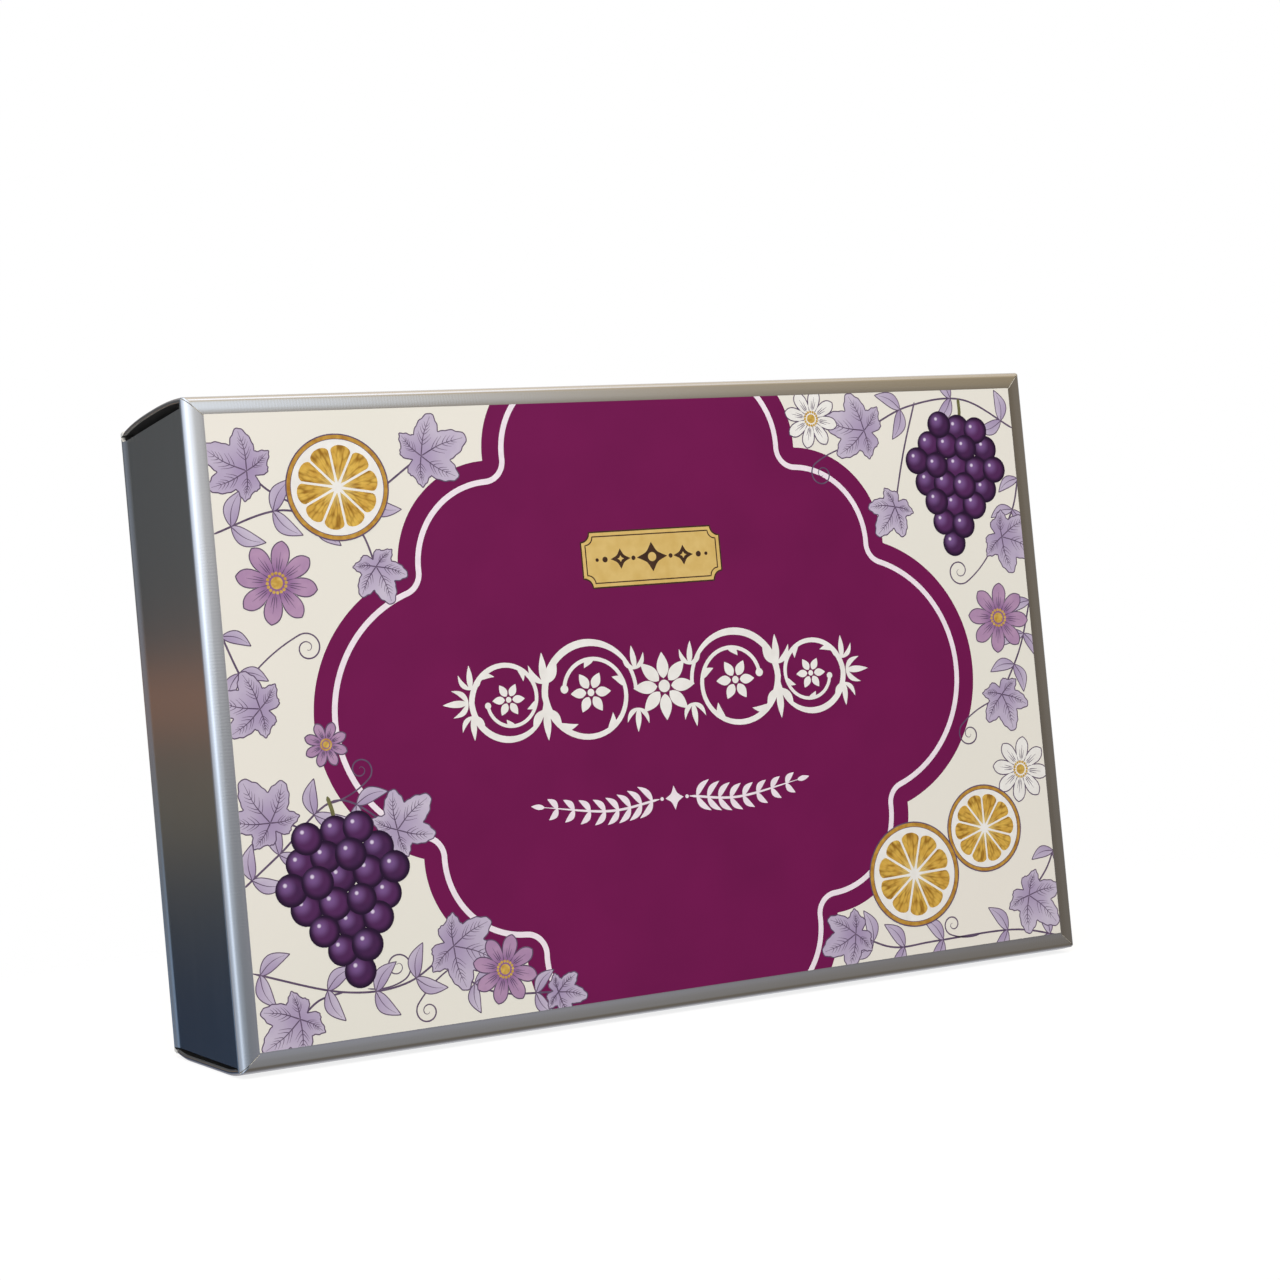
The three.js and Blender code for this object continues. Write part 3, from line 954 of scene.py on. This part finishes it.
wire(shader, Base_Color=mixed(tree, light_heart, pulp, "ecd58c"))
printed("slice_cells", cells, 11, cell_ink)
printed("slice_lines", rims, 11, line_ink)

# ---------------------------------------------------------------------------------------
# The grapes: bunches of round dark berries, packed in a triangle pattern. Each berry lies
# on one of three steps, so that neighbours overlap, and is shaded from its rim inwards.
# ---------------------------------------------------------------------------------------

berry = 6.4
berry_pitch = 1.66           # between berries in a row, in berry radii
row_pitch = 0.86             # between rows, by the pitch in a row
stray = 0.07                 # how far a berry may lie off its place, by the same pitch
rows_of_berries = (3, 4, 5, 4, 3, 2, 1)


def bunch(at, lean, seed, size=1.0):
    """Berries in rows round a leaning line, moved a little at random, on three steps."""
    random = np.random.default_rng(seed)
    pitch = berry_pitch * berry * size
    made = []
    for row, count in enumerate(rows_of_berries):
        across = (np.arange(count) - (count - 1) / 2) * pitch
        down = -row * pitch * row_pitch
        spots = np.stack([across, np.full(count, down)], -1)
        spots += random.uniform(-stray, stray, spots.shape) * pitch
        column = np.round(across / pitch * 2).astype(int)
        steps = (column + 3 * row) % 6 // 2
        for spot, step in zip(placed(spots, at, lean), steps):
            radius = berry * size * random.uniform(0.96, 1.04)
            made.append(fan(circle(28), spot, random.uniform(-12, 12), radius,
                            random.uniform(0, 1), 4, int(step)))
    return made


bunches = (((-148, -42), 6, 3, 1.0), ((156, 105.5), -8, 5, 0.94))
berries = [shape for place in bunches for shape in bunch(*place)]
grape_ink, tree, shader, tone, uv = ink_look("grape_ink", "4c2450", "40204a", 220)
shade = node(tree, "Attribute", attribute_name="tone").outputs["Fac"]
body = mixed(tree, mapped(tree, shade, 0, 1), tone, "55285a")
for point, low, high, most, tint in (    # a dark rim, a soft glow and a small shine
        ((0.5, 0.5), 0.47, 0.28, 1.0, "250f2e"), ((0.37, 0.63), 0.04, 0.36, 0.75, "84609a"),
        ((0.34, 0.69), 0.03, 0.085, 0.9, "e3d6ea")):
    near = mapped(tree, distance_from(tree, uv, point), low, high, most, 0.0)
    body = mixed(tree, near, body, tint)
wire(shader, Base_Color=body)
stalks = [stroke(smooth([placed((0, 14), at, lean, size), placed((1, 6), at, lean, size),
                         placed((0, -6), at, lean, size)], 16), 1.6 * size, (0.05, 0.3))
          for at, lean, _, size in bunches]
printed("grape_stalks", stalks, 6, ink_look("stalk_ink", "7b7a4c", "5f5c3c", 400)[0])
printed("grape_berries", berries, 7, grape_ink)

# ---------------------------------------------------------------------------------------
# The gold plate: hot-stamped foil with notched corners, a drawn inner line, and a row of
# lozenges across it.
# ---------------------------------------------------------------------------------------

plate_at = (0.0, 57.0)
plate_half = (32.0, 11.5)


def notched(half_x, half_z, notch, count=12):
    """A rectangle whose four corners are cut back by a quarter circle, as a closed line."""
    cut = notch * ray(np.linspace(0, np.pi / 2, count))
    corners = []
    for number, (sx, sz) in enumerate(((1, 1), (-1, 1), (-1, -1), (1, -1))):
        arc = np.array([sx * half_x, sz * half_z]) - cut * (sx, sz)
        corners.append(arc[::-1] if number % 2 == 0 else arc)
    line = np.concatenate(corners)
    line = np.concatenate([line, line[:1]])
    past = run_along(line)
    even = np.union1d(past, np.linspace(0, past[-1], 160))
    return np.stack([np.interp(even, past, line[:, k]) for k in (0, 1)], -1)


def lozenge(at, half_x, half_z, step=0):
    """A diamond: each side is drawn in by 0.28 * sin(pi * the share along it)."""
    corners = np.array([(1, 0), (0, 1), (-1, 0), (0, -1), (1, 0)], float)
    share = np.linspace(0, 4, 33)
    line = np.stack([np.interp(share, range(5), corners[:, k]) for k in (0, 1)], -1)
    line *= (1 - 0.28 * np.sin(np.pi * (share % 1)))[:, None]
    return fan(line * (half_x, half_z), at, 0, 1, 0, 3, step)


gold, tree, shader, tone, uv = ink_look("gold_foil", "edcb7f", "e4bf6f", 220, 0.36)
wire(shader, Metallic=0.2)
plate = notched(*plate_half, 4.0)
rows = np.linspace(0, 1, 5)[:, None, None]
printed("gold_plate", [(plate * rows + plate_at, 0.5 + plate * rows / 70, 0, 0)], 3, gold)
dark_ink = ink_look("dark_ink", "4a3224", "3a261c", 300)[0]
inner = notched(plate_half[0] - 1.9, plate_half[1] - 1.9, 3.4) + plate_at
outer = plate + plate_at
marks = [stroke(inner, 0.5), stroke(outer, 0.6)]
marks += [lozenge((plate_at[0] + x, plate_at[1]), wide, high)
          for x, wide, high in ((0, 7, 6.2), (-14.5, 4.6, 4.2), (14.5, 4.6, 4.2))]
marks += [disc((plate_at[0] + x, plate_at[1]), size)
          for x, size in ((-8.6, 0.95), (8.6, 0.95), (-21.6, 1.2), (21.6, 1.2),
                          (-25.2, 0.75), (25.2, 0.75))]
printed("plate_marks", marks, 4, dark_ink)
marks = [disc(plate_at, 1.9, 20)]
marks += [lozenge((plate_at[0] + x, plate_at[1]), 1.5, 1.4) for x in (-14.5, 14.5)]
printed("plate_hearts", marks, 5, gold)

# ---------------------------------------------------------------------------------------
# The scroll band: a white vine of half circles that curl back into themselves, mirrored
# about a rosette, with leaflets. Below it lies a thin pair of laurel sprigs.
# ---------------------------------------------------------------------------------------


def palmette(at, turn, long, step=0):
    """Leaflets spread from one point: one straight on and one on each side, bent outwards."""
    return [leaflet(at, turn + lean, long * share, 0.26 * long * share, bend, step + up)
            for lean, share, bend, up in ((0, 1, 0, 0.4), (38, 0.8, 0.14, 0.2),
                                          (-38, 0.8, -0.14, 0))]


scroll_middle = np.array([0.0, 3.0])
scroll_start = 13.0          # the first coil's edge, from the middle
coil_radii = 20.5, 16.0
coil_turns = 0.97
coil_in = 0.42               # the share of its radius that a coil draws in by
vine_width = 3.1, 0.4        # at the first coil, and how much less at the second
shapes = []
x = scroll_start
for number, radius in enumerate(coil_radii):
    side = 1 if number % 2 == 0 else -1
    centre = np.array([x + radius, 0])
    angle = np.pi * (1 - np.linspace(0, 1, 30))
    stem = centre + radius * ray(angle) * (1, side)
    share = np.linspace(0, 1, 48)
    angle = -side * 2 * np.pi * coil_turns * share
    reach = radius * (1 - coil_in * share ** 0.9)
    coil = centre + reach[:, None] * ray(angle)
    width = vine_width[0] - vine_width[1] * number
    shapes.append(stroke(np.concatenate([stem, coil[1:]]), width, (0.2, 0.75), 0.35,
                         number % 2))
    shapes.append(disc(coil[-1], 0.085 * radius, step=2))
    for petal in range(6):
        shapes.append(leaflet(centre + placed((0.1 * radius, 0), (0, 0), petal * 60),
                              petal * 60, 0.34 * radius, 0.2 * radius, 0, 2))
    shapes.append(disc(centre, 0.075 * radius, step=2))
    for spot, long in ((5, 0.42), (15, 0.38), (25, 0.34), (35, 0.28)):
        shapes.append(leaflet(coil[spot], np.degrees(angle[spot]) - side * 138,
                              radius * long, 0.14 * radius, 0.14 * side, 2))
    x += 2 * radius
    for up in (-1, 1):
        shapes += palmette((x, up * 5.2), up * 90, 0.62 * radius, 3)
shapes += palmette((x + 1.4, 0), 0, 11, 4)
shapes += [shape for up in (-1, 1) for shape in palmette((12.6, up * 8), up * 84, 10, 3)]
both = []
for grid, uv, tone, step in shapes:
    for side in (-1, 1):
        both.append((grid * (side, 1) + scroll_middle, uv, tone, step))
for petal in range(8):
    both.append(leaflet(scroll_middle + placed((3.2, 0), (0, 0), petal * 45), petal * 45,
                        11, 5.4, 0.0, 5))
both.append(disc(scroll_middle, 2.6, 28, 3, 5))
printed("scroll_band", both, 3, white_ink)

laurel_z = -43.5
laurel_long, laurel_wide = 9.2, 2.6
laurel_less = 0.45           # each pair of leaflets is this much shorter than the last
laurel_lean = 45
sprigs = []
for side in (-1, 1):
    stem = smooth([(7, laurel_z), (30, -46.0), (60, -41.5)], 44) * (side, 1)
    sprigs.append(stroke(stem, 1.0, (0.05, 0.4)))
    for number in range(8):
        at = stem[3 + 5 * number]
        for up in (-1, 1):
            turn = up * laurel_lean if side > 0 else 180 - up * laurel_lean
            long = laurel_long - laurel_less * number
            sprigs.append(leaflet(at, turn, long, laurel_wide, 0.1 * up * side, 1))
    sprigs.append(leaflet(stem[-2], 10 if side > 0 else 170, 6, 2.2, 0, 1))
sprigs.append(lozenge((0, laurel_z), 4.2, 5.0))
sprigs += [disc((x, laurel_z), 0.8, 12) for x in (-5.8, 5.8)]
printed("laurel_sprigs", sprigs, 3, pale_ink)

# ---------------------------------------------------------------------------------------
# The camera, the floor and the light. The floor is a pale disc that fades into white. The
# silver takes its tones from soft lights all round, each about one direction, and a lamp
# in front of the box, to the left and above, lights the print.
# ---------------------------------------------------------------------------------------

camera = bpy.data.objects.new("camera", bpy.data.cameras.new("camera"))
camera.data.sensor_width, camera.data.lens = 36, 68.15
camera.location = (-0.4421, -0.9555, 0.1276)
camera.rotation_euler = np.radians((91.575, 5.321, -25.454))
camera.data.clip_start, camera.data.clip_end = 0.01, 50
bpy.context.collection.objects.link(camera)
bpy.context.scene.camera = camera

floor = bpy.data.objects.new("floor", bpy.data.meshes.new("floor"))
rim_points = np.insert(3 * circle(96)[:-1], 2, 0, axis=-1)
floor.data.from_pydata(rim_points.tolist(), [], [list(range(96))])
bpy.context.collection.objects.link(floor)
ground, tree, shader = material("ground")
place = node(tree, "TexCoord").outputs["Object"]
far = node(tree, "VectorMath", operation="LENGTH", Vector=place).outputs["Value"]
wire(shader, Base_Color=(0.26, 0.26, 0.26, 1), Roughness=0.9, Specular_IOR_Level=0,
     Emission_Color=(1, 1, 1, 1), Emission_Strength=0.81,
     Alpha=mapped(tree, far, 0.28, 0.62, 1, 0))
floor.data.materials.append(ground)
floor.visible_glossy = floor.visible_diffuse = False

world = bpy.data.worlds.new("studio")
bpy.context.scene.world = world
world.use_nodes = True
tree = world.node_tree
direction = node(tree, "TexCoord").outputs["Generated"]
height = node(tree, "SeparateXYZ", Vector=direction).outputs


def rise(low, high, along="Z"):
    """0 where that part of the direction is below low and 1 above high, smoothly."""
    return mapped(tree, height[along], low, high)


def belt(at, spread):
    """A level belt of light: e to the minus ((height - at) / spread) squared."""
    away = maths(tree, "DIVIDE", maths(tree, "SUBTRACT", height["Z"], at), spread)
    square = maths(tree, "MULTIPLY", away, away)
    return maths(tree, "EXPONENT", maths(tree, "MULTIPLY", square, -1))


def sum_of(first, second):
    """Two vector sockets, or a socket and three numbers, added."""
    add = node(tree, "VectorMath", operation="ADD", Vector=first)
    if isinstance(second, bpy.types.NodeSocket):
        tree.links.new(second, add.inputs[1])
    else:
        add.inputs[1].default_value = second
    return add.outputs["Vector"]


def soft_light(turn, lift, sharp, shade, mask=None):
    """A light round one direction: shade * mask * max(0, dot(direction, aim)) ^ sharp.

    The aim is turn degrees from the front towards +X, and lift degrees above level.
    """
    turn, lift = np.radians((turn, lift))
    dot = node(tree, "VectorMath", operation="DOT_PRODUCT", Vector=direction)
    dot.inputs[1].default_value = (np.sin(turn) * np.cos(lift), -np.cos(turn) * np.cos(lift),
                                   np.sin(lift))
    level = maths(tree, "POWER", maths(tree, "MAXIMUM", dot.outputs["Value"], 0), sharp)
    if mask is not None:
        level = maths(tree, "MULTIPLY", level, mask)
    scaled = node(tree, "VectorMath", operation="SCALE", Vector=shade, Scale=level)
    return scaled.outputs["Vector"]


above_table = rise(-0.06, 0.12)
to_the_left = rise(-0.06, -0.24, "X")
over_table = maths(tree, "MULTIPLY", rise(-0.12, -0.015), to_the_left)
level_line = maths(tree, "MULTIPLY", belt(0.02, 0.012), to_the_left)
lower_line = maths(tree, "MULTIPLY", belt(-0.022, 0.022), to_the_left)
lights = (
    soft_light(180, 0, 2, (0.063, 0.052, 0.020), over_table),    # wall behind, on the left
    soft_light(180, 0, 2, (0.290, 0.095, 0.024), level_line),
    soft_light(180, 0, 2, (0.067, 0.050, 0.020), lower_line),
    soft_light(180, 0, 2, (0.152, 0.126, 0.106), rise(-0.16, -0.02, "X")),
    soft_light(-50, 50, 2, (0.55, 0.54, 0.50)),                  # ceiling on the left
    soft_light(-90, -15, 2, (0.38, 0.43, 0.52), above_table),    # window on the left
    soft_light(-80, 0, 40, (0.46, 0.54, 0.64)),
    soft_light(-70, -15, 2, (0.12, 0.16, 0.21)),
    soft_light(-40, -15, 2, (0.64, 0.63, 0.62), above_table),    # room round the camera
    soft_light(-150, -7, 220, (0.22, 0.32, 0.46)),
    soft_light(-135, -15, 90, (0.35, 0.30, 0.23)),
    soft_light(15, 35, 90, (0.60, 0.77, 1.00)),                  # panel over the front
    soft_light(50, 70, 40, (0.73, 0.89, 1.20)),
    soft_light(75, 70, 2, (0.45, 0.31, 0.10)),                   # warm ceiling on the right
    soft_light(50, -40, 2, (0.157, 0.120, 0.064)),               # table
    soft_light(15, -15, 16, (0.17, 0.18, 0.225)),
    soft_light(14, -36, 14, (0.075, 0.092, 0.110)),
    soft_light(180, 0, 2, (0.15, 0.16, 0.20), belt(-0.25, 0.06)),
    soft_light(180, -25, 2, (0.32, 0.32, 0.33), rise(-0.22, -0.42)),
    soft_light(135, 15, 2, (0.40, 0.41, 0.43), rise(0.12, 0.4, "X")),
    soft_light(-120, 15, 2, (0.34, 0.36, 0.40), rise(-0.6, -0.85, "X")),
    soft_light(180, 45, 6, (0.40, 0.41, 0.44), rise(0.2, 0.5)))
total = lights[0]
for part in (*lights[1:], (0.010, 0.021, 0.044)):
    total = sum_of(total, part)
on_view = node(tree, "LightPath").outputs["Is Camera Ray"]
wire(tree.nodes["Background"], Color=mixed(tree, on_view, total, (1, 1, 1)))

lamp = bpy.data.objects.new("softbox", bpy.data.lights.new("softbox", "AREA"))
lamp.data.shape, lamp.data.size, lamp.data.size_y = "RECTANGLE", 1.6, 1.2
lamp.data.energy = 25.2
lamp.location = (-0.5, -1.5, 1.2)
lamp.rotation_euler = np.radians((57, 0, -18))
lamp.visible_glossy = False
bpy.context.collection.objects.link(lamp)
bpy.context.scene.view_settings.view_transform = "Standard"
